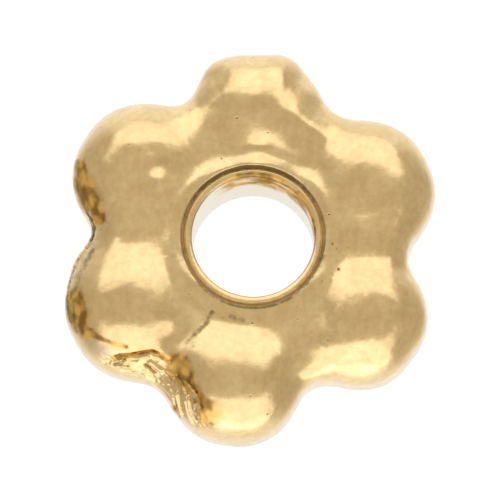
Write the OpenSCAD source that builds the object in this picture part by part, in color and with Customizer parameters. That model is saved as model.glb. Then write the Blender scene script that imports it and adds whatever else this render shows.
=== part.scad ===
// Flower rondelle bead: one cast metal bead, six domed petals round a thread hole.
// The origin is in the middle of the hole, half way through the bead. +Z runs out of the
// hole on the upper face, and +Y points through the petal with the flat tip.
// All sizes are in millimetres and degrees.

/* [Bead] */
// Width over two opposite petals
bead_w = 6.5; // [5.5:0.1:9]
// Thickness over the petals' domes
bead_t = 2.2; // [1.8:0.05:3]
// Diameter of the thread hole
hole_d = 2; // [1:0.05:2.2]

/* [Hub] */
// Half height of the flat hub round the hole
hub_h = 0.78; // [0.7:0.01:0.85]
// Radius of the hub, which fills the valleys between the petals
hub_r = 2.5; // [2.3:0.05:2.7]
// Rounding of the hub's edge
hub_round = 0.5; // [0.3:0.05:0.6]
// Rise of the hub to a low collar beside the rim
collar_rise = 0.06; // [0:0.01:0.1]
// Reach of the collar's slope out onto the hub
collar_w = 0.14; // [0.1:0.01:0.25]

/* [Hole rim] */
// Width of the rounded rim round the hole
rim_w = 0.12; // [0.08:0.01:0.2]
// Depth of the rim's crest below the petals' crests
rim_drop = 0.28; // [0.25:0.01:0.4]
// Width of the crease between the rim and the collar
crease_w = 0.03; // [0.02:0.01:0.05]
// Depth of the crease below the rim's crest
crease_d = 0.12; // [0.1:0.01:0.2]
// Lean of the crease's outer wall, out from upright
crease_lean = 20; // [10:5:30]

/* [Form] */
// Softness of the valleys between two petals
valley_soft = 0.17; // [0.1:0.01:0.25]
// Softness of the step from a petal down to the hub
hub_soft = 0.11; // [0.06:0.01:0.2]

/* [Smoothness] */
// Sections round the hole
sections = 96; // [48:12:120]
// Points on each section
section_points = 41; // [25:2:49]

/* [Hidden] */

// Petals anticlockwise from +X: the angle, the distance from the axis to the top of the
// dome, the radius of the dome, and half the flat of the tip, on a 6.5 by 2.2 mm bead
PETALS = [
    [26.5, 2.13, 1.05, 0.08],
    [88.0, 2.30, 0.90, 0.14],
    [146.5, 2.22, 1.08, 0.08],
    [209.0, 2.25, 1.08, 0.08],
    [262.5, 2.36, 0.97, 0.10],
    [324.5, 2.28, 0.93, 0.14],
];
// What the casting left in two valleys, the flash and the broken gate: the angle, the
// distance from the axis, and the radius of the metal there
CAST_MARKS = [
    [187, 2.60, 0.25],
    [238, 2.40, 0.30],
];
PATTERN_W = 6.5;
PATTERN_T = 2.2;

// Scale of the pattern across the bead and through it
scale_w = bead_w / PATTERN_W;
scale_t = bead_t / PATTERN_T;

// The round things have this many sides where they are drawn
round_fn = 96;
hole_r = hole_d / 2;
rim_mid = hole_r + rim_w / 2;
rim_straight = bead_t / 2 - rim_drop - rim_w / 2;
crease_r = hole_r + rim_w + crease_w;
crease_h = bead_t / 2 - rim_drop - crease_d;

// The wall leans out over the height of the cutter that makes the crease
crease_spread = bead_t * tan(crease_lean);

// The collar's crest stands over the outer wall of the crease
collar_r = (crease_r + crease_w) / scale_w;

// Every section is drawn from a point on this ring, out to the metal's surface
ring_r = 1.95;
// Both ends of a section lie this far inside the hole
section_in = hole_r / scale_w - 0.1;
section_turn = atan2(hub_h, section_in - ring_r);
// No part of the surface is further than this from the ring
search_r = 2.2;
search_steps = 16;

// A length cut down to the range from -most to most
function within(length, most) = max(-most, min(most, length));

// Distance from p to a dome. The dome is a ball drawn out sideways by the flat of the tip,
// and up and down until it is as thick as the bead
function from_dome(p, petal) =
    let (
        radius = petal[2],
        outward = [cos(petal[0]), sin(petal[0]), 0],
        sideways = [-sin(petal[0]), cos(petal[0]), 0],
        out = p * outward - petal[1],
        side = p * sideways,
        up = p[2]
    )
    norm([out, side - within(side, petal[3]), up - within(up, PATTERN_T / 2 - radius)]) - radius;

// Distance from p to the ball of metal that a casting mark leaves in its valley
function from_mark(p, mark) =
    norm(p - mark[1] * [cos(mark[0]), sin(mark[0]), 0]) - mark[2];

// Distance from p to the hub, a disc with a rounded edge and a low collar round the hole
function from_hub(p) =
    let (
        r = norm([p[0], p[1]]),
        rise = collar_rise * exp(-pow((r - collar_r) / collar_w, 2)),
        out = r - hub_r + hub_round,
        up = abs(p[2]) - hub_h - rise + hub_round
    )
    norm([max(out, 0), max(up, 0)]) + min(max(out, up), 0) - hub_round;

// Several shapes run together, with a fillet that grows with the softness
function melt(distances, soft) =
    -soft * ln([for (d = distances) exp(-d / soft)] * [for (d = distances) 1]);

// Distance from p to the bead's surface, below zero inside the metal
function from_bead(p) =
    let (
        domes = [for (petal = PETALS) from_dome(p, petal)],
        marks = [for (mark = CAST_MARKS) from_mark(p, mark)],
        flower = melt(concat(domes, marks), valley_soft)
    )
    melt([flower, from_hub(p)], hub_soft);

// The surface along one ray lies between the lengths near and far: halve the gap
function reach_of(at, ray, near, far, steps) =
    let (mid = (near + far) / 2)
    steps == 0 ? mid
    : from_bead(at + mid * ray) > 0 ? reach_of(at, ray, near, mid, steps - 1)
    : reach_of(at, ray, mid, far, steps - 1);

// One point of the skin: the section at angle a, and turn t from outwards, over the top
function skin_point(a, t) =
    let (
        away = [cos(a), sin(a), 0],
        at = ring_r * away,
        ray = cos(t) * away + [0, 0, sin(t)],
        p = at + reach_of(at, ray, 0, search_r, search_steps) * ray
    )
    [p[0] * scale_w, p[1] * scale_w, p[2] * scale_t];

// The flower as one skin, a closed ring of sections, before the hole is made
module petal_ring() {
    last = section_points - 1;
    points = [
        for (i = [0:sections - 1])
            for (j = [0:last])
                skin_point(i * 360 / sections, section_turn * (1 - 2 * j / last))
    ];
    quads = [
        for (i = [0:sections - 1])
            for (j = [0:last])
                let (
                    here = i * section_points,
                    beside = (i + 1) % sections * section_points,
                    next = (j + 1) % section_points
                )
                [here + j, beside + j, beside + next, here + next]
    ];
    triangles = [
        for (q = quads)
            for (half = [[q[0], q[1], q[2]], [q[0], q[2], q[3]]])
                half
    ];
    polyhedron(points = points, faces = triangles, convexity = 6);
}

// What is cut away for the rim: a hole as wide as the middle of its wall, and the crease
// round its crest on both faces, which opens upwards
module rim_seat() {
    cylinder(r = rim_mid, h = 2 * bead_t, center = true, $fn = round_fn);
    for (face = [0, 1])
        mirror([0, 0, face])
            translate([0, 0, crease_h])
                cylinder(r1 = crease_r, r2 = crease_r + crease_spread, h = bead_t, $fn = round_fn);
}

// The rim is the wall of the hole, with a round crest on both faces
module hole_rim() {
    rotate_extrude($fn = round_fn) {
        translate([hole_r, -rim_straight])
            square([rim_w, 2 * rim_straight]);
        for (side = [-1, 1])
            translate([rim_mid, side * rim_straight])
                circle(d = rim_w, $fn = 24);
    }
}

module flower_bead() {
    color("#cdb27d") {
        difference() {
            petal_ring();
            rim_seat();
        }
        hole_rim();
    }
}

flower_bead();
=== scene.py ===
import math

import bpy
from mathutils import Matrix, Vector, noise
from mathutils.bvhtree import BVHTree


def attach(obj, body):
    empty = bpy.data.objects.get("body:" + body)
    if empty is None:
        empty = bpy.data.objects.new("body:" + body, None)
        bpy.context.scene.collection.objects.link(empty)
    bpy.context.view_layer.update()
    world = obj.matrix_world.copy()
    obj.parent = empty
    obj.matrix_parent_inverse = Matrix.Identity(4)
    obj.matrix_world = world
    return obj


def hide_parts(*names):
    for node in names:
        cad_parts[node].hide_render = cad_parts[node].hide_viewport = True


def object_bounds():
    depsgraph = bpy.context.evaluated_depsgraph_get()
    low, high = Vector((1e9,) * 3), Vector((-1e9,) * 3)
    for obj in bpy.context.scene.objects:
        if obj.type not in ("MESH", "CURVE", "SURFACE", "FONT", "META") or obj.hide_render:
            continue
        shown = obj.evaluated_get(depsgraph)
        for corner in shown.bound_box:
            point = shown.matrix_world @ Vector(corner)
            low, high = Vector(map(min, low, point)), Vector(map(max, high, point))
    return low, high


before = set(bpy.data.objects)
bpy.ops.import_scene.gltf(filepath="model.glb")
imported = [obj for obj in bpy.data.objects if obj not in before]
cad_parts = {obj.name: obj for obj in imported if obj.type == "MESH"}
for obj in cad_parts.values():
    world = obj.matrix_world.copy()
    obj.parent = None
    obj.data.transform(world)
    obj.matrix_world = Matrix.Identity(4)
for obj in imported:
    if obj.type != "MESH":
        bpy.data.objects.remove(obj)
cad_low, cad_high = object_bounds()

# --- The cast body -------------------------------------------------------------------------
# A rondelle spacer bead of zinc alloy, cast in a two part mould: six domed petals round a
# flat hub. The castings are tumbled before plating, so every dome runs into its neighbours
# with a soft valley.

# The bead is modelled in millimetres, one unit each, and brought down to metres at the end
MM = 0.001
# Corners of the mould that lie closer than this are one
WELD = 0.0001
# The ring of metal that the mould presses into the flower
RING_R, RING_BLANK_R = 1.95, 0.3
# Its sections, and the points of each. It starts with half of both, and is cut finer once
RING_SECTIONS, SECTION_POINTS = 512, 128
# The skin reaches in to here, in degrees round each section from its outermost point
HUB_TURN = 44 * 360 / SECTION_POINTS
TUMBLING_PASSES = 12


def let_go():
    """Leaves nothing selected and no piece in edit mode."""
    if bpy.context.object and bpy.context.object.mode == "EDIT":
        bpy.ops.object.mode_set(mode="OBJECT")
    bpy.ops.object.select_all(action="DESELECT")


def take(piece):
    """Leaves only the piece selected, and active."""
    let_go()
    piece.select_set(True)
    bpy.context.view_layer.objects.active = piece


def pick(piece, wanted):
    """Goes into edit mode on the piece with the wanted vertices selected."""
    take(piece)
    bpy.ops.object.mode_set(mode="EDIT")
    bpy.ops.mesh.select_mode(type="VERT")
    bpy.ops.mesh.select_all(action="DESELECT")
    bpy.ops.object.mode_set(mode="OBJECT")
    for vertex in piece.data.vertices:
        vertex.select = wanted(vertex)
    bpy.ops.object.mode_set(mode="EDIT")


def resize(piece, scale):
    """Scales the piece's mesh about the origin, and leaves its object as it is."""
    take(piece)
    bpy.ops.object.mode_set(mode="EDIT")
    bpy.ops.mesh.select_all(action="SELECT")
    bpy.ops.transform.resize(value=(scale, scale, scale), center_override=(0, 0, 0))
    bpy.ops.object.mode_set(mode="OBJECT")


def apply_modifier(piece, kind, **settings):
    """Adds a modifier with its settings, and applies it at once."""
    take(piece)
    modifier = piece.modifiers.new(kind.title(), kind)
    for name, value in settings.items():
        setattr(modifier, name, value)
    bpy.ops.object.modifier_apply(modifier=modifier.name)


let_go()
mould = bpy.data.objects.new("mould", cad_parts["flower_bead"].data.copy())
bpy.context.collection.objects.link(mould)
resize(mould, 1 / MM)
bpy.ops.object.mode_set(mode="EDIT")
bpy.ops.mesh.select_all(action="SELECT")
bpy.ops.mesh.remove_doubles(threshold=WELD)
let_go()
bpy.ops.mesh.primitive_torus_add(
    major_radius=RING_R,
    minor_radius=RING_BLANK_R,
    major_segments=RING_SECTIONS // 2,
    minor_segments=SECTION_POINTS // 2,
)
bead = bpy.context.object
bead.name = "rondelle_bead"
bpy.ops.object.mode_set(mode="EDIT")
bpy.ops.mesh.subdivide(number_cuts=1)
bpy.ops.object.mode_set(mode="OBJECT")


def section_of(at):
    """The number of the ring's section that a place lies in."""
    return round(math.atan2(at.y, at.x) / math.tau * RING_SECTIONS) % RING_SECTIONS


# Where each point lies on the blank ring: its angle in its section, and which section
turns = [math.degrees(math.atan2(v.co.z, v.co.xy.length - RING_R)) for v in bead.data.vertices]
sections = [section_of(v.co) for v in bead.data.vertices]
apply_modifier(
    bead,
    "SHRINKWRAP",
    target=mould,
    wrap_method="PROJECT",
    use_positive_direction=True,
    use_negative_direction=False,
)
apply_modifier(bead, "SMOOTH", factor=0.5, iterations=TUMBLING_PASSES)

# Wear of the mould and the tumbling have made the petals of the upper face unlike: across,
# up, how far the metal stands proud there or lies low, and how wide the change is
SWELLS = (
    (-1.90, -1.98, -0.08, 0.30),
    (-1.30, -1.65, -0.075, 0.20),
    (-1.32, -1.70, -0.05, 0.15),
    (-1.22, -1.28, -0.035, 0.20),
    (-2.10, 0.22, 0.05, 0.25),
    (-1.95, 1.00, -0.015, 0.25),
    (-2.20, 1.58, 0.045, 0.20),
    (-1.55, 1.62, 0.045, 0.20),
    (-1.00, 1.62, 0.025, 0.18),
    (-1.53, 0.88, -0.075, 0.13),
    (-1.66, 1.15, 0.04, 0.12),
    (-0.64, 2.72, -0.10, 0.18),
    (-0.50, 2.15, -0.04, 0.14),
    (0.86, 2.72, -0.06, 0.20),
    (0.00, 2.24, 0.03, 0.14),
    (0.62, 2.06, 0.05, 0.14),
    (-0.27, 1.60, 0.03, 0.15),
    (0.08, 1.48, -0.05, 0.10),
    (0.51, 1.71, 0.08, 0.17),
    (0.54, 1.53, 0.035, 0.12),
    (0.67, 1.42, 0.035, 0.12),
    (0.79, 1.49, 0.05, 0.16),
    (0.82, 1.87, 0.12, 0.19),
    (1.04, 1.72, 0.08, 0.17),
    (0.62, 2.42, -0.05, 0.18),
    (1.25, 1.40, 0.04, 0.16),
    (2.35, 0.00, 0.05, 0.22),
    (2.15, -0.88, 0.03, 0.18),
    (1.40, -0.84, 0.04, 0.20),
    (2.75, -0.50, -0.05, 0.20),
    (1.15, -1.45, -0.05, 0.20),
    (1.12, -1.22, -0.03, 0.14),
    (1.50, -1.58, -0.03, 0.18),
    (1.75, -2.25, -0.09, 0.28),
    (0.88, -2.00, -0.08, 0.19),
    (0.60, -2.25, -0.05, 0.20),
    (-1.00, -2.28, -0.08, 0.20),
    (-1.30, -0.16, 0.02, 0.20),
    (-1.25, -1.02, -0.05, 0.20),
    (-2.48, 0.80, -0.03, 0.17),
)
# The swells run out down the walls, below this height
WALL_TOP = 0.6
# One petal has a flat tip with two corners: across, up, how far the metal is pushed across
# and up there, and how wide the change is
PUSHES = (
    (0.03, 3.15, 0.00, -0.050, 0.28),
    (-0.62, 2.92, -0.055, 0.02, 0.20),
    (0.46, 3.02, 0.01, 0.015, 0.18),
    (0.80, 2.72, -0.055, -0.03, 0.20),
)
# Only what lies further up than this is pushed
TIP_START = 2


def bell(at, across, up, reach):
    """1 at the place across and up, falling off alike to all sides."""
    return math.exp(-((at.x - across) ** 2 + (at.y - up) ** 2) / (2 * reach**2))


for vertex in bead.data.vertices:
    at = vertex.co
    if at.y > TIP_START:
        moved_across = moved_up = 0.0
        for across, up, push_across, push_up, reach in PUSHES:
            share = bell(at, across, up, reach)
            moved_across += share * push_across
            moved_up += share * push_up
        at.x += moved_across
        at.y += moved_up
    if at.z > 0:
        lift = 0.0
        for across, up, rise, reach in SWELLS:
            lift += rise * bell(at, across, up, reach)
        at.z += lift * min(1.0, at.z / WALL_TOP)

# The foot of the petals in each section, on both faces: its radius and height
half_point = 180 / SECTION_POINTS
feet = {1: [(0, 0)] * RING_SECTIONS, -1: [(0, 0)] * RING_SECTIONS}
for vertex, turn, section in zip(bead.data.vertices, turns, sections):
    if abs(abs(turn) - HUB_TURN) < half_point:
        feet[1 if turn > 0 else -1][section] = (vertex.co.xy.length, abs(vertex.co.z))
pick(bead, lambda v: abs(turns[v.index]) > HUB_TURN + half_point)
bpy.ops.mesh.delete(type="VERT")
take(mould)
bpy.ops.object.delete()

# --- The collar and the thread hole --------------------------------------------------------
# The hole is left by a core pin, and a thin rolled rim stands round it on both faces. A
# crease parts the rim from a low collar, which slopes out to the flat of the hub.

# The hole's radius, the rim's width, and the height at which its sides start to round over
HOLE_R, RIM_W, RIM_STRAIGHT = 1.0, 0.12, 0.76
RIM_MID = HOLE_R + RIM_W / 2
# The height of the hub's flat over the bead's middle
HUB_H = 0.78
# The collar slopes down to the hub's flat from its crest to its foot. It reaches less far
# out toward the petal with the flat tip, and toward the one opposite
COLLAR_RISE, COLLAR_CREST, COLLAR_FOOT, COLLAR_SQUEEZE = 0.084, 1.27, 1.54, 1.08
# The collar's last loop lies this far from the axis
COLLAR_TOP = 1.225
# How far in each loop of the collar lies, from the petals' foot (0) to that last one (1)
COLLAR_LOOPS = (0.17, 0.34, 0.50, 0.66, 0.83, 1.0)
# The crease: the distance of each loop from the axis, and its depth below the collar's crest
CREASE_LOOPS = (
    (1.200, 0.004),
    (1.188, 0.014),
    (1.176, 0.036),
    (1.164, 0.060),
    (1.152, 0.082),
    (1.140, 0.095),
    (1.129, 0.100),
)


def faded(distance, inner, outer):
    """1 up to the inner distance, falling to 0 at the outer one."""
    t = max(0.0, min(1.0, (outer - distance) / (outer - inner)))
    return t * t * (3 - 2 * t)


def collar_rise(at):
    """How far the collar stands over the hub's flat at a place."""
    away = math.hypot(at.x, COLLAR_SQUEEZE * at.y)
    return COLLAR_RISE * faded(away, COLLAR_CREST, COLLAR_FOOT)


for vertex in bead.data.vertices:
    if abs(vertex.co.z) > HUB_H / 2:
        vertex.co.z += math.copysign(collar_rise(vertex.co), vertex.co.z)
# The lip is flattened by wear: its section is a circle pressed toward a square, and it leans
# in to the hole
LIP_STEPS, LIP_SQUARE, LIP_LEAN = 8, 0.6, 0.3
lip = []
for i in range(LIP_STEPS + 1):
    out, up = math.cos(math.pi * i / LIP_STEPS), math.sin(math.pi * i / LIP_STEPS)
    out = math.copysign(abs(out) ** LIP_SQUARE, out)
    rise = RIM_W / 2 * (abs(up) ** LIP_SQUARE + LIP_LEAN * (out - 1))
    lip.append((RIM_MID + RIM_W / 2 * out, RIM_STRAIGHT + rise))
# The wall of the hole, from the rim in to near the middle
WALL_HEIGHTS = (0.64, 0.54, 0.43, 0.30, 0.14)
# The collar takes up the swell of the petals' feet, from the foot in to here
FOOT_END = 1.20
# The petals are smoothed into the collar between these distances from the axis
BLEND_START, BLEND_END = 1.26, 1.50
crest = HUB_H + COLLAR_RISE
# Each loop: on the collar or not, how far in or at what radius, and at what height
loops = [(True, share, HUB_H) for share in COLLAR_LOOPS]
loops += [(False, away, crest - depth) for away, depth in CREASE_LOOPS]
loops += [(False, away, height) for away, height in lip]
loops += [(False, HOLE_R, height) for height in WALL_HEIGHTS]
for side in (1, -1):
    take(bead)
    bpy.ops.object.mode_set(mode="EDIT")
    bpy.ops.mesh.select_mode(type="EDGE")
    bpy.ops.mesh.select_all(action="DESELECT")
    bpy.ops.mesh.select_non_manifold()
    bpy.ops.object.mode_set(mode="OBJECT")
    # Only the petals' feet on this face, not the wall's last loop
    for edge in bead.data.edges:
        z = bead.data.vertices[edge.vertices[0]].co.z
        edge.select = edge.select and side * z > HUB_H / 2
    for on_collar, place, height in loops:
        bpy.ops.object.mode_set(mode="EDIT")
        bpy.ops.mesh.select_mode(type="EDGE")
        bpy.ops.mesh.extrude_edges_move()
        bpy.ops.object.mode_set(mode="OBJECT")
        for vertex in bead.data.vertices:
            if vertex.select:
                foot_r, foot_z = feet[side][section_of(vertex.co)]
                away = foot_r + place * (COLLAR_TOP - foot_r) if on_collar else place
                turn = math.atan2(vertex.co.y, vertex.co.x)
                at = Vector((away * math.cos(turn), away * math.sin(turn), height))
                at.z += (1 - faded(away, FOOT_END, foot_r)) * (foot_z - HUB_H)
                at.z += collar_rise(at) if on_collar else 0
                at.z *= side
                vertex.co = at
# The two walls meet in the middle of the hole
bpy.ops.object.mode_set(mode="EDIT")
bpy.ops.mesh.select_mode(type="EDGE")
bpy.ops.mesh.select_all(action="DESELECT")
bpy.ops.mesh.select_non_manifold()
bpy.ops.mesh.bridge_edge_loops()
bpy.ops.mesh.select_all(action="SELECT")
bpy.ops.mesh.normals_make_consistent(inside=False)
# The petals run into the collar without an edge
pick(bead, lambda v: abs(v.co.z) > HUB_H / 2 and BLEND_START < v.co.xy.length < BLEND_END)
bpy.ops.mesh.vertices_smooth(factor=0.5, repeat=5)
let_go()

# --- What the casting left -----------------------------------------------------------------
# The gate was broken off between two petals and left a crumpled scar down the wall. Beside
# it the two halves of the mould let out a thin flash of metal, trimmed by hand, and both
# places took the plating badly.


def refine(piece, wanted):
    """Cuts the faces between the wanted vertices in four, and rounds what is new."""
    pick(piece, wanted)
    bpy.ops.mesh.subdivide(number_cuts=1)
    bpy.ops.mesh.vertices_smooth(factor=0.5, repeat=2)
    bpy.ops.object.mode_set(mode="OBJECT")


def from_line(point, line):
    """The distance from a point to a line of several points."""
    nearest = math.inf
    for start, end in zip(line, line[1:]):
        run = end - start
        t = max(0.0, min(1.0, (point - start).dot(run) / run.length_squared))
        nearest = min(nearest, (point - start - t * run).length)
    return nearest


# Places on the upper side are given across and up, as seen from over the front edge
SIGHT_ELEVATION = 78
sight_up = Vector(
    (0, math.sin(math.radians(SIGHT_ELEVATION)), math.cos(math.radians(SIGHT_ELEVATION)))
)
sight_back = Vector((0, -sight_up.z, sight_up.y))
# Distances from the middle that are clear of the bead, over it and beside it
OVERHEAD, OUTSIDE = 10, 5


def on_skin(skin, across, up):
    """The place on the skin that shows there, and its normal."""
    start = across * Vector((1, 0, 0)) + up * sight_up + OVERHEAD * sight_back
    place, normal, _, _ = skin.ray_cast(start, -sight_back)
    return place, normal


def skin_of(piece):
    """The piece's faces, for rays to hit."""
    return BVHTree.FromObject(piece, bpy.context.evaluated_depsgraph_get())


skin = skin_of(bead)
# The middle of the scar: across and up
SCAR_LINE = (
    (-2.25, -1.93),
    (-1.95, -1.96),
    (-1.62, -2.02),
    (-1.38, -2.30),
    (-1.10, -2.62),
    (-0.92, -2.80),
)
scar_line = [on_skin(skin, *place)[0] for place in SCAR_LINE]
scar_middle = sum(scar_line, Vector()) / len(scar_line)
# Nothing of the scar lies further than this from its middle
SCAR_REACH = 1.6
# The flash runs round the wall at this height, over this range of angles from +X, and fades
# out over some more of them. Its line has a point every few degrees
FLASH_Z, FLASH_START, FLASH_END, FLASH_FADE, FLASH_STEP = 0.30, 172, 200, 6, 3
# Nothing of the flash lies further right or lower than this
FLASH_RIGHT, FLASH_LOW = -2, -0.3
flash_line = []
for angle in range(FLASH_START - FLASH_FADE, FLASH_END + FLASH_FADE + FLASH_STEP, FLASH_STEP):
    away = Vector((math.cos(math.radians(angle)), math.sin(math.radians(angle)), 0))
    start = OUTSIDE * away + Vector((0, 0, FLASH_Z))
    flash_line.append(skin.ray_cast(start, -away)[0])


def off_scar(at):
    """The distance from the scar's line, where it matters."""
    return from_line(at, scar_line) if (at - scar_middle).length < SCAR_REACH else math.inf


def off_flash(at):
    """The distance from the flash's line, where it matters."""
    return from_line(at, flash_line) if at.x < FLASH_RIGHT and at.z > FLASH_LOW else math.inf


# The skin is cut finer this near to the scar, twice, and to the flash: the lowest height of
# each cut, and its reach
SCAR_CUTS = ((-0.5, 0.44), (-0.2, 0.36))
FLASH_CUT = 0.24
for low, reach in SCAR_CUTS:
    refine(bead, lambda v: v.co.z > low and off_scar(v.co) < reach)
refine(bead, lambda v: off_flash(v.co) < FLASH_CUT)

# Folds and tool marks in the scar: the ends across and up, the depth, and the half width.
# What stands up has a depth below zero
FOLDS = (
    (-2.25, -1.82, -1.94, -1.76, 0.060, 0.030),
    (-1.94, -1.76, -1.65, -1.71, 0.040, 0.024),
    (-1.65, -1.71, -1.36, -1.87, 0.055, 0.030),
    (-2.17, -1.87, -1.71, -1.79, -0.035, 0.030),
    (-2.28, -1.96, -2.11, -1.87, 0.050, 0.028),
    (-2.11, -1.87, -1.91, -1.88, 0.030, 0.024),
    (-1.76, -1.96, -1.65, -2.06, 0.055, 0.034),
    (-1.68, -1.90, -1.50, -2.02, -0.050, 0.048),
    (-1.62, -1.80, -1.47, -1.84, -0.030, 0.028),
    (-1.42, -2.06, -1.30, -2.12, -0.040, 0.035),
    (-2.14, -1.96, -2.02, -1.99, -0.030, 0.030),
    (-1.94, -2.05, -1.79, -2.11, -0.030, 0.030),
    (-1.50, -2.19, -1.33, -2.42, -0.035, 0.030),
    (-1.38, -2.28, -1.30, -2.40, 0.030, 0.024),
    (-1.25, -2.40, -1.18, -2.72, -0.045, 0.035),
    (-1.33, -2.50, -1.21, -2.77, 0.045, 0.030),
    (-1.24, -2.13, -1.07, -2.48, 0.060, 0.028),
    (-1.07, -2.48, -0.95, -2.83, 0.060, 0.028),
    (-1.10, -2.19, -0.93, -2.36, 0.060, 0.024),
    (-0.93, -2.36, -0.85, -2.62, 0.060, 0.024),
    (-1.13, -2.54, -1.01, -2.88, -0.030, 0.028),
)
# A crack in the valley beside the flash
CRACK = (-2.60, 0.30, -2.66, 0.10, 0.060, 0.022)
skin = skin_of(bead)
folds = []
for across0, up0, across1, up1, depth, width in (*FOLDS, CRACK):
    ends = [on_skin(skin, across0, up0), on_skin(skin, across1, up1)]
    inward = -(ends[0][1] + ends[1][1]).normalized()
    folds.append(([ends[0][0], ends[1][0]], inward, depth, width))
# The folds wander from their straight lines by this much, have run out at this many half
# widths, and lie no further than this from the scar or the flash
WANDER, WANDER_SIZE, FOLD_END, FOLD_REACH = 0.028, 0.20, 3, 0.6
# Where the wandering starts is drawn from this seed, so that each run folds the scar alike
WANDER_SEED = 1
noise.seed_set(WANDER_SEED)
# A fold of this depth is painted fully dark, with grime and painted shade
FULL_DEPTH = 0.07
# The crumpled skin of the break: its depth and size, and how far from the scar's line it
# starts to fade and ends
CRUMPLE, CRUMPLE_SIZE, CRUMPLE_CORE, CRUMPLE_EDGE = 0.030, 0.12, 0.12, 0.34
# How far even its tops lie in, how steep its ridges lean, and the share of finer crumples
CRUMPLE_SINK, CRUMPLE_LEAN, CRUMPLE_FINE = 0.4, 0.6, 0.25
# The crumples are drawn out by this share, the way the gate was broken off
DRAWN_OUT = 0.55
scar_run = (scar_line[-1] - scar_line[2]).normalized()
# How far the flash stands out, its half width, and how far from its line it ends
FLASH_H, FLASH_W, FLASH_EDGE = 0.028, 0.045, 0.2
# The nicks in it: their size, the noise below which one is whole and above which there is
# none, their depth in heights of the flash, and the grime and painted shade in them
NICK_SIZE, NICK_WHOLE, NICK_NONE, NICK_DEPTH, NICK_GRIME_AND_SHADE = 0.08, -0.15, 0.25, 1.6, 0.8
moves = []
# How deep each point lies in a fold, or how far it is nicked, from 0 to 1; it is painted dark as
# grime and painted shade
sunk = []
for vertex in bead.data.vertices:
    at = vertex.co
    move = Vector((0, 0, 0))
    deepest = 0.0
    scar_gap, flash_gap = off_scar(at), off_flash(at)
    if scar_gap < CRUMPLE_EDGE:
        drawn = at - DRAWN_OUT * at.dot(scar_run) * scar_run
        lump = noise.noise(drawn / CRUMPLE_SIZE)
        lump += CRUMPLE_FINE * noise.noise(at / CRUMPLE_SIZE * 2)
        share = faded(scar_gap, CRUMPLE_CORE, CRUMPLE_EDGE)
        deep = CRUMPLE_SINK + abs(lump) - CRUMPLE_LEAN * lump
        move -= vertex.normal * CRUMPLE * share * deep
    if scar_gap < FOLD_REACH or flash_gap < FOLD_REACH:
        strayed = at + WANDER * noise.noise_vector(at / WANDER_SIZE)
        for line, inward, depth, width in folds:
            off = from_line(strayed, line)
            if off < FOLD_END * width:
                share = math.exp(-((off / width) ** 2))
                move += inward * depth * share
                deepest = max(deepest, share * depth / FULL_DEPTH)
    if flash_gap < FLASH_EDGE:
        # Trimming left the flash in short pieces, with nicks between them
        turn = math.degrees(math.atan2(at.y, at.x)) % 360
        strip = faded(-turn, -FLASH_START, FLASH_FADE - FLASH_START)
        strip *= faded(turn, FLASH_END, FLASH_END + FLASH_FADE)
        nicked = faded(noise.noise(at / NICK_SIZE), NICK_WHOLE, NICK_NONE)
        ridge = math.exp(-((flash_gap / FLASH_W) ** 2))
        move += vertex.normal * FLASH_H * strip * ridge * (1 - NICK_DEPTH * nicked)
        deepest = max(deepest, NICK_GRIME_AND_SHADE * strip * ridge * nicked)
    moves.append(move)
    sunk.append(min(1.0, deepest))
for vertex, move in zip(bead.data.vertices, moves):
    vertex.co += move

# The tumbling and the casting leave the metal a little uneven all over
UNEVEN, UNEVEN_SIZE = 0.012, 0.45
swell = bpy.data.textures.new("uneven_casting", "CLOUDS")
swell.noise_scale = UNEVEN_SIZE
apply_modifier(bead, "DISPLACE", texture=swell, strength=UNEVEN, mid_level=0.5)

# Where the plating is stained: across, up, and the size of the spot. A stain reaches twice
# its size from the middle, and fades all the way
STAIN_SPOTS = (
    (-2.83, 1.34, 0.09),
    (-2.80, 1.12, 0.18),
    (-2.74, 0.88, 0.20),
    (-2.60, 0.64, 0.19),
    (-2.50, 0.44, 0.11),
    (-2.92, -0.80, 0.16),
    (-2.90, -1.02, 0.19),
    (-2.83, -1.24, 0.18),
    (-2.70, -1.44, 0.11),
    (-1.24, -1.86, 0.19),
    (-1.16, -2.04, 0.18),
    (-1.04, -2.24, 0.14),
    (-0.90, -2.42, 0.12),
    (-0.82, -2.58, 0.11),
    (-0.66, -2.72, 0.24),
    (-1.28, -2.66, 0.08),
)
# Thin stains that have crept out from the spots
STAIN_LINES = (
    ((-2.64, -1.40), (-2.50, -1.50), (-2.34, -1.57), (-2.08, -1.64)),
    ((-2.25, -1.82), (-1.94, -1.76), (-1.65, -1.70), (-1.36, -1.86)),
)
# Where the cast metal shows through, in the same way
RAW_SPOTS = (
    (-0.98, -2.44, 0.06),
    (-0.95, -2.62, 0.07),
    (-0.93, -2.78, 0.06),
    (-2.62, -1.62, 0.10),
    (-2.44, -1.70, 0.12),
    (-2.64, 0.02, 0.08),
    (-2.76, -0.24, 0.08),
    (-2.88, -0.50, 0.08),
)
# Grime in scores, and along the outer edges of the stains
GRIME_LINES = (
    ((-1.07, -1.56), (-0.93, -1.42), (-0.79, -1.29), (-0.67, -1.07)),
    ((-0.98, -1.61), (-1.02, -1.54)),
    ((-0.38, -1.14), (-0.28, -1.19), (-0.16, -1.21)),
    ((-2.87, 1.40), (-2.88, 1.10), (-2.80, 0.80), (-2.64, 0.46)),
    ((-3.02, -0.94), (-2.98, -1.20), (-2.88, -1.40)),
    ((-2.60, 0.30), (-2.66, 0.10)),
    ((-2.62, -0.06), (-2.76, -0.32), (-2.90, -0.66), (-2.98, -0.80)),
)
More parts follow.
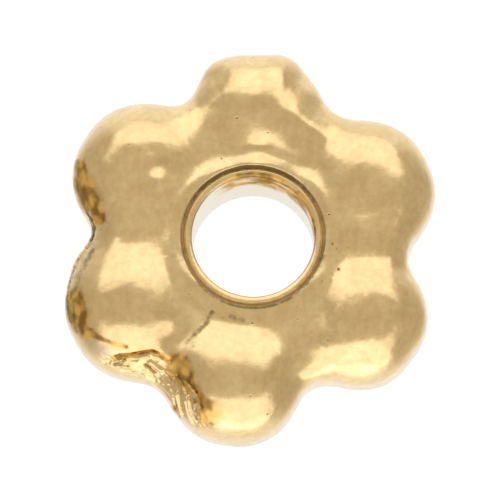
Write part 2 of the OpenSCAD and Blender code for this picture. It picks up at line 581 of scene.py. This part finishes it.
# Grime dried on the stains, and specks of it on the hub: across, up, size, and how thick
GRIME_SPOTS = (
    (-1.22, -1.90, 0.13, 0.35),
    (-1.10, -2.14, 0.12, 0.58),
    (-0.98, -2.30, 0.09, 0.50),
    (-0.62, -2.70, 0.19, 0.25),
    (1.28, -0.22, 0.44, 0.26),
    (-1.34, -0.12, 0.26, 0.30),
    (1.30, 0.04, 0.06, 0.75),
    (1.36, -0.03, 0.05, 0.60),
    (1.39, -0.37, 0.06, 0.80),
    (1.13, -0.57, 0.05, 0.70),
    (1.56, -0.02, 0.05, 0.65),
    (0.72, -0.98, 0.05, 0.60),
    (-0.50, -1.16, 0.07, 0.55),
    (-0.80, -1.02, 0.06, 0.55),
    (-1.36, -0.24, 0.05, 0.45),
)
stains = [(Vector((across, up, 0)), size) for across, up, size in STAIN_SPOTS]
raws = [(Vector((across, up, 0)), size) for across, up, size in RAW_SPOTS]
creeps = [[Vector((*place, 0)) for place in line] for line in STAIN_LINES]
grimes = [[Vector((*place, 0)) for place in line] for line in GRIME_LINES]
specks = [(Vector((across, up, 0)), size, share) for across, up, size, share in GRIME_SPOTS]
# The layers of paint that the plating reads: how stained it is, how far it is worn to the raw
# metal, how much grime and painted shade it holds, and how thin it runs in the crease and in the
# bore
for name in ("stain", "raw", "grime_and_shade", "bore"):
    bead.data.attributes.new(name, "FLOAT", "POINT")
layers = bead.data.attributes
# The crease: its middle's distance from the axis, how far from there its paint starts to fade
# and ends, and how much wider it spreads outward at the front
CREASE_MIDDLE, CREASE_CORE, CREASE_EDGE, CREASE_SPREAD = 1.160, 0.008, 0.055, 0.05
# Its grime and painted shade at the front, and how much more painted shade it holds at the back
CREASE_GRIME_AND_SHADE, CREASE_SHADE_BACK, CREASE_THIN = 0.46, 0.44, 0.9
# A line of painted shade outside the crease, at the front, that dims the highlight on the
# collar's
# edge: its distance from the axis, where it starts to fade and ends, and how much it holds
LINE_R, LINE_CORE, LINE_EDGE, LINE_SHADE = 1.212, 0.01, 0.03, 0.55
# The orange streaks in the bore, a stain and a painted reflection of the gold in itself: their
# direction in degrees from +X, how many degrees from there they start to fade and end, and the
# heights at which they are whole and at which there are none
BORE_TURN, BORE_CORE, BORE_EDGE, BORE_WHOLE, BORE_NONE = 60, 50, 80, 0.25, -0.05
# It runs in streaks: its mean strength, how much they add or take, the degrees from one to the
# next, and their number in each millimetre of height
STREAK_MEAN, STREAK_CHANGE, STREAK_TURN, STREAKS_UP = 0.8, 0.6, 25, 7
# The plating is at its thinnest up to this far out from the bore's radius
WALL_SKIN = 0.01
# Painted shade on the bore's lower edge, next to the table, and the height where it ends
LOW_SHADE, LOW_END = 0.5, -0.70
# No mark of the upper side lies lower, further right or further back than this
MARKS_LOW, MARKS_RIGHT, MARKS_BACK = -0.2, 1.8, 2
# How much the spots, the lines and the scar add to their layers
SPOT_STAIN, SCORE_GRIME, SCAR_STAIN = 0.85, 0.62, 0.3
# Where a raw spot starts to fade and ends, in sizes of the spot
RAW_CORE, RAW_EDGE = 0.3, 1.6
# Where a line starts to fade, and where a creeping stain and a score end
THREAD, CREEP_EDGE, SCORE_EDGE = 0.01, 0.09, 0.10
# The same for the stain round the scar
SCAR_CORE, SCAR_EDGE = 0.1, 0.4
for index, vertex in enumerate(bead.data.vertices):
    at = vertex.co
    away = at.xy.length
    # From 0 at the front to 1 at the back
    far_side = 0.5 + 0.5 * at.y / away
    gap = away - CREASE_MIDDLE
    spread = CREASE_SPREAD * (1 - far_side) if gap > 0 else 0.0
    crease = faded(abs(gap), CREASE_CORE, CREASE_EDGE + spread) * (abs(at.z) > HUB_H / 2)
    # The crease is painted dark, as grime and as painted shade in the groove, darkest at the
    # back
    grime_and_shade = (CREASE_GRIME_AND_SHADE + CREASE_SHADE_BACK * far_side**3) * crease
    # A line of painted shade dims the collar edge's highlight at the front
    grime_and_shade += LINE_SHADE * (1 - far_side) ** 3 * faded(abs(away - LINE_R), LINE_CORE, LINE_EDGE)
    raw = stain = 0.0
    thin = CREASE_THIN * crease
    if away < RIM_MID:
        # The bore's upper half is painted with orange streaks at the back and the right: a
        # stain, and a painted reflection of the gold's light bouncing in the bore
        turn = abs(math.degrees(math.atan2(at.y, at.x)) - BORE_TURN)
        upper = faded(turn, BORE_CORE, BORE_EDGE) * faded(-at.z, -BORE_WHOLE, -BORE_NONE)
        streak = noise.noise(Vector((turn / STREAK_TURN, STREAKS_UP * at.z, 0)))
        stain = (STREAK_MEAN + STREAK_CHANGE * streak) * upper
        thin = faded(away, HOLE_R + WALL_SKIN, RIM_MID) * (1 - upper)
        # Painted shade on the bore's lower edge, next to the table
        grime_and_shade += LOW_SHADE * faded(at.z, -RIM_STRAIGHT, LOW_END)
    layers["bore"].data[index].value = thin
    if at.z > MARKS_LOW and at.x < MARKS_RIGHT and at.y < MARKS_BACK:
        seen = Vector((at.x, at.dot(sight_up), 0))
        spots = sum(faded((seen - spot).length, 0, 2 * size) for spot, size in stains)
        creep = max(faded(from_line(seen, line), THREAD, CREEP_EDGE) for line in creeps)
        score = max(faded(from_line(seen, line), THREAD, SCORE_EDGE) for line in grimes)
        stain += SPOT_STAIN * spots
        stain += creep
        stain += SCAR_STAIN * faded(off_scar(at), SCAR_CORE, SCAR_EDGE)
        for spot, size in raws:
            raw += faded((seen - spot).length, RAW_CORE * size, RAW_EDGE * size)
        grime_and_shade += SCORE_GRIME * score
        for spot, size, share in specks:
            grime_and_shade += share * faded((seen - spot).length, 0, size)
        # The folds and nicks are painted dark by their depth: grime, and painted shade
        grime_and_shade += sunk[index]
    layers["stain"].data[index].value = min(1.0, stain)
    layers["raw"].data[index].value = min(1.0, raw)
    layers["grime_and_shade"].data[index].value = min(1.0, grime_and_shade)

resize(bead, MM)
bpy.ops.object.shade_smooth()

# --- The gold plate ------------------------------------------------------------------------
# A few microns of gold over the tumbled casting. It mirrors its surroundings with soft
# edges, and shows the casting's pits, fine scratches from handling, and stains where the
# plating is thin.


def colour(hex_rgb):
    """An sRGB hex colour turned linear, with full alpha."""
    parts = [int(hex_rgb[i : i + 2], 16) / 255 for i in (0, 2, 4)]
    return (*[c / 12.92 if c <= 0.04045 else ((c + 0.055) / 1.055) ** 2.4 for c in parts], 1)


def add(tree, kind, links=None, **settings):
    """A node with its settings, and with its inputs set to a value or linked to a socket."""
    made = tree.nodes.new("ShaderNode" + kind)
    for name, value in settings.items():
        setattr(made, name, value)
    for name, value in (links or {}).items():
        if isinstance(value, bpy.types.NodeSocket):
            tree.links.new(value, made.inputs[name])
        else:
            made.inputs[name].default_value = value
    return made


def new_material(name):
    """A material with an empty node tree, and the tree."""
    material = bpy.data.materials.new(name)
    material.use_nodes = True
    material.node_tree.nodes.clear()
    return material, material.node_tree


plate, tree = new_material("gold_plated_zinc_casting")
place = add(tree, "TexCoord").outputs["Object"]
# One unit of this mapping is a millimetre
in_mm = add(tree, "Mapping", {"Vector": place, "Scale": (1000, 1000, 1000)}).outputs["Vector"]
# Ragged edges for the stains, about an eighth of a millimetre from one tooth to the next
ragged = add(tree, "TexNoise", {"Vector": in_mm, "Scale": 8.0, "Detail": 2.0, "Roughness": 0.6})
# The plate's own tone drifts over three quarters of a millimetre, as its thickness does
cloudy = add(tree, "TexNoise", {"Vector": in_mm, "Scale": 1.3, "Detail": 3.0})


def patchy(layer, low, high, tear):
    """A painted layer with its edge torn by the ragged noise."""
    painted = add(tree, "Attribute", attribute_name=layer).outputs["Fac"]
    broken = add(tree, "Math", {0: ragged.outputs["Fac"], 1: 0.5}, operation="SUBTRACT")
    wide = add(tree, "Math", {0: broken.outputs[0], 1: tear}, operation="MULTIPLY")
    both = add(tree, "Math", {0: painted, 1: wide.outputs[0]}, operation="ADD")
    held = add(tree, "Math", {0: both.outputs[0], 1: painted}, operation="MULTIPLY")
    return add(
        tree,
        "MapRange",
        {"Value": held.outputs[0], "From Min": low, "From Max": high},
        interpolation_type="SMOOTHSTEP",
    ).outputs["Result"]


stain_mask = patchy("stain", low=0.0, high=0.9, tear=0.8)
raw_mask = patchy("raw", low=0.0, high=1.1, tear=0.8)
grime_and_shade_mask = patchy("grime_and_shade", low=0.03, high=0.65, tear=1.4)
bore_mask = add(tree, "Attribute", attribute_name="bore").outputs["Fac"]
# Blotches inside a stain, about 0.2 mm from one to the next
blotchy = add(tree, "TexNoise", {"Vector": in_mm, "Scale": 4.5, "Detail": 1.0, "Roughness": 0.5})
blotch_mask = add(
    tree,
    "MapRange",
    {"Value": blotchy.outputs["Fac"], "From Min": 0.36, "From Max": 0.68},
    interpolation_type="SMOOTHSTEP",
).outputs["Result"]
# A haze of tarnish and wear over the whole plate, about half a millimetre from cloud to cloud
hazy = add(tree, "TexNoise", {"Vector": in_mm, "Scale": 2.0, "Detail": 5.0, "Roughness": 0.62})
haze_mask = add(
    tree,
    "MapRange",
    {"Value": hazy.outputs["Fac"], "From Min": 0.38, "From Max": 0.66, "To Max": 0.55},
).outputs["Result"]
# A fine mottling of the plate, with the same grain as the stains' ragged edges
mottle_mask = add(
    tree,
    "MapRange",
    {"Value": ragged.outputs["Fac"], "From Min": 0.42, "From Max": 0.64, "To Max": 0.17},
).outputs["Result"]

# Specks: pits of the casting, up to 0.07 mm across and about a third of a millimetre apart
cells = add(tree, "TexVoronoi", {"Vector": in_mm, "Scale": 4.0})
chosen = add(tree, "SeparateColor", {"Color": cells.outputs["Color"]})
few = add(
    tree,
    "MapRange",
    {"Value": chosen.outputs["Red"], "From Min": 0.45, "From Max": 1.0, "To Max": 0.13},
)
near_pit = add(
    tree,
    "Math",
    {0: few.outputs["Result"], 1: cells.outputs["Distance"]},
    operation="SUBTRACT",
)
pit_mask = add(
    tree,
    "MapRange",
    {"Value": near_pit.outputs[0], "From Min": 0.0, "From Max": 0.09},
    interpolation_type="SMOOTHSTEP",
).outputs["Result"]

# Brush marks of the last polish: 0.1 mm wide and 0.6 mm long, drawn coarser than real ones
# to show
along_brush = add(
    tree,
    "Mapping",
    {"Vector": in_mm, "Rotation": (0, 0, 0.12), "Scale": (10, 1.6, 6)},
)
brushed = add(
    tree,
    "TexNoise",
    {"Vector": along_brush.outputs["Vector"], "Scale": 1.0, "Detail": 3.0, "Roughness": 0.6},
)
brushed_mask = add(
    tree,
    "MapRange",
    {"Value": brushed.outputs["Fac"], "From Min": 0.42, "From Max": 0.72, "To Max": 0.35},
).outputs["Result"]

gold = add(
    tree,
    "Mix",
    {"Factor": cloudy.outputs["Fac"], "A": colour("F3CB88"), "B": colour("FFDE9E")},
    data_type="RGBA",
).outputs["Result"]
stained = add(
    tree,
    "Mix",
    {"Factor": blotch_mask, "A": colour("F2BE66"), "B": colour("9C7236")},
    data_type="RGBA",
).outputs["Result"]
# What lies over the gold, from the first film to the last: where it is, and its colour
films = (
    (haze_mask, colour("E3BA7C")),
    (brushed_mask, colour("E3BC80")),
    (mottle_mask, colour("D2A868")),
    (bore_mask, colour("E8CFA0")),
    (stain_mask, stained),
    (raw_mask, colour("DDBB8C")),
    (pit_mask, colour("9C7C46")),
    # Grime, and painted shade in the crease, the folds and nicks, on the bore's lower edge and
    # on the collar's front edge
    (grime_and_shade_mask, colour("846A34")),
)
tone = gold
for mask, film in films:
    over = add(tree, "Mix", {"Factor": mask, "A": tone, "B": film}, data_type="RGBA")
    tone = over.outputs["Result"]

# Sound plate is polished, and is dull where it is stained, worn, grimy or painted with shade
worn = add(tree, "Math", {0: stain_mask, 1: raw_mask}, operation="MAXIMUM")
worn = add(tree, "Math", {0: worn.outputs[0], 1: grime_and_shade_mask}, operation="MAXIMUM")
gloss = add(
    tree,
    "MapRange",
    {"Value": worn.outputs[0], "To Min": 0.25, "To Max": 0.42},
)

# A stain is a film on the metal, and keeps its colour where it is seen edge-on
edge_tint = add(
    tree,
    "Mix",
    {"Factor": stain_mask, "A": colour("FFFFFF"), "B": colour("EAD6AD")},
    data_type="RGBA",
).outputs["Result"]

# Grime, and the painted shade, lie on the metal as a dull skin
metal = add(tree, "MapRange", {"Value": grime_and_shade_mask, "To Min": 1.0, "To Max": 0.5})

# Ripple of the polished casting, 0.2 mm from crest to crest. The bumps' distances are in
# metres: 6 microns for the ripple, 1 for the brush marks and 10 for the pits
peel = add(tree, "TexNoise", {"Vector": in_mm, "Scale": 5.0, "Detail": 3.0, "Roughness": 0.45})
ripple = add(
    tree,
    "Bump",
    {"Height": peel.outputs["Fac"], "Strength": 1.0, "Distance": 0.000006},
)
scored = add(
    tree,
    "Bump",
    {
        "Height": brushed.outputs["Fac"],
        "Strength": 0.5,
        "Distance": 0.000001,
        "Normal": ripple.outputs["Normal"],
    },
)
pitted = add(
    tree,
    "Bump",
    {
        "Height": pit_mask,
        "Strength": 0.6,
        "Distance": 0.00001,
        "Normal": scored.outputs["Normal"],
    },
    invert=True,
)
surface = add(
    tree,
    "BsdfPrincipled",
    {
        "Base Color": tone,
        "Metallic": metal.outputs["Result"],
        "Specular Tint": edge_tint,
        "Roughness": gloss.outputs["Result"],
        "Normal": pitted.outputs["Normal"],
    },
)
add(tree, "OutputMaterial", {"Surface": surface.outputs["BSDF"]})
bead.data.materials.clear()
bead.data.materials.append(plate)
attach(bead, "root")
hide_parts("flower_bead")

# --- The table and the light tent ----------------------------------------------------------
# The bead lies on opal acrylic that is lit from below, in a light tent. Two large softboxes
# stand in front and behind, and the cloth of the tent fills in between them.
TABLE_W, TABLE_Z, TABLE_GLOW = 0.6, cad_low.z, 0.97
let_go()
bpy.ops.mesh.primitive_plane_add(size=TABLE_W, location=(0, 0, TABLE_Z))
table = bpy.context.object
table.name = "opal_table"
bpy.ops.object.transform_apply(location=True, rotation=True, scale=True)
# Opal acrylic scatters the light from below, so the sheet is an even white with no shadow and
# no gloss
opal, tree = new_material("opal_acrylic_sheet")
sheet = add(
    tree,
    "BsdfPrincipled",
    {
        "Base Color": colour("6E6E6E"),
        "Roughness": 0.9,
        "Specular IOR Level": 0.1,
        "Emission Color": colour("FFFFFE"),
        "Emission Strength": TABLE_GLOW,
    },
)
add(tree, "OutputMaterial", {"Surface": sheet.outputs["BSDF"]})
opal.cycles.emission_sampling = "NONE"
table.data.materials.append(opal)
table.visible_glossy = False
table.visible_shadow = False

tent = bpy.data.worlds.new("tent_cloth")
bpy.context.scene.world = tent
tent.use_nodes = True
tree = tent.node_tree
tree.nodes.clear()
# The cloth is darker to the left and right, and the lit table brightens it below
way = add(tree, "SeparateXYZ", {"Vector": add(tree, "TexCoord").outputs["Generated"]})
aside = add(tree, "Math", {0: way.outputs["X"]}, operation="ABSOLUTE").outputs[0]
sides = add(
    tree,
    "MapRange",
    {"Value": aside, "From Min": 0.45, "From Max": 0.95, "To Min": 0.62, "To Max": 0.54},
    interpolation_type="SMOOTHSTEP",
).outputs["Result"]
under = add(
    tree,
    "MapRange",
    {"Value": way.outputs["Z"], "From Min": -0.10, "From Max": 0.04, "To Min": 1, "To Max": 0},
    interpolation_type="SMOOTHSTEP",
).outputs["Result"]
middle = add(
    tree,
    "MapRange",
    {"Value": aside, "From Min": 0.4, "From Max": 0.85, "To Min": 0.5, "To Max": 0},
    interpolation_type="SMOOTHSTEP",
).outputs["Result"]
glow = add(tree, "Math", {0: under, 1: middle}, operation="MULTIPLY").outputs[0]
cloth = add(tree, "Background", {"Color": (1, 1, 1, 1), "Strength": sides})
lit_table = add(tree, "Background", {"Color": (0.8, 1.0, 1.4, 1), "Strength": glow})
both = add(
    tree,
    "AddShader",
    {0: cloth.outputs["Background"], 1: lit_table.outputs["Background"]},
)
add(tree, "OutputWorld", {"Surface": both.outputs["Shader"]})

SOFTBOX_W = 0.18
# The softboxes: name, y and z of the near edge and of the far edge, how bright its face is,
# and its colour
SOFTBOXES = (
    ("front_softbox", (-0.040, 0.0445), (-0.120, -0.045), 0.80, (0.94, 1.05, 1.36)),
    ("back_softbox", (0.030, 0.0580), (0.135, 0.006), 0.72, (0.94, 1.09, 1.42)),
)
for name, near, far, level, tint in SOFTBOXES:
    near, far = Vector((0, *near)), Vector((0, *far))
    lamp = bpy.data.lights.new(name, "AREA")
    lamp.shape = "RECTANGLE"
    lamp.size = SOFTBOX_W
    lamp.size_y = (far - near).length
    lamp.energy = level * math.pi * lamp.size * lamp.size_y
    lamp.color = tint
    softbox = bpy.data.objects.new(name, lamp)
    bpy.context.collection.objects.link(softbox)
    softbox.location = (near + far) / 2
    facing = (far - near).cross(Vector((1, 0, 0)))
    facing = facing if facing.dot(softbox.location) > 0 else -facing
    softbox.rotation_euler = facing.to_track_quat("Z", "Y").to_euler()

# --- The camera ----------------------------------------------------------------------------
# A long lens looks down almost from overhead, a little from the front, along the line of
# sight that places the marks. Its picture is 8.2 mm wide at the bead.
SENSOR_W, CAMERA_AWAY, FIELD_W = 36, 0.3, 0.0082
lens = bpy.data.cameras.new("camera")
lens.sensor_width = SENSOR_W
lens.lens = SENSOR_W * CAMERA_AWAY / FIELD_W
lens.clip_start, lens.clip_end = 0.01, 5
camera = bpy.data.objects.new("camera", lens)
bpy.context.collection.objects.link(camera)
camera.location = (cad_low + cad_high) / 2 + CAMERA_AWAY * sight_back
camera.rotation_euler = sight_back.to_track_quat("Z", "Y").to_euler()
bpy.context.scene.camera = camera

# The picture keeps the plain colours of the light that reaches the lens
bpy.context.scene.view_settings.view_transform = "Standard"
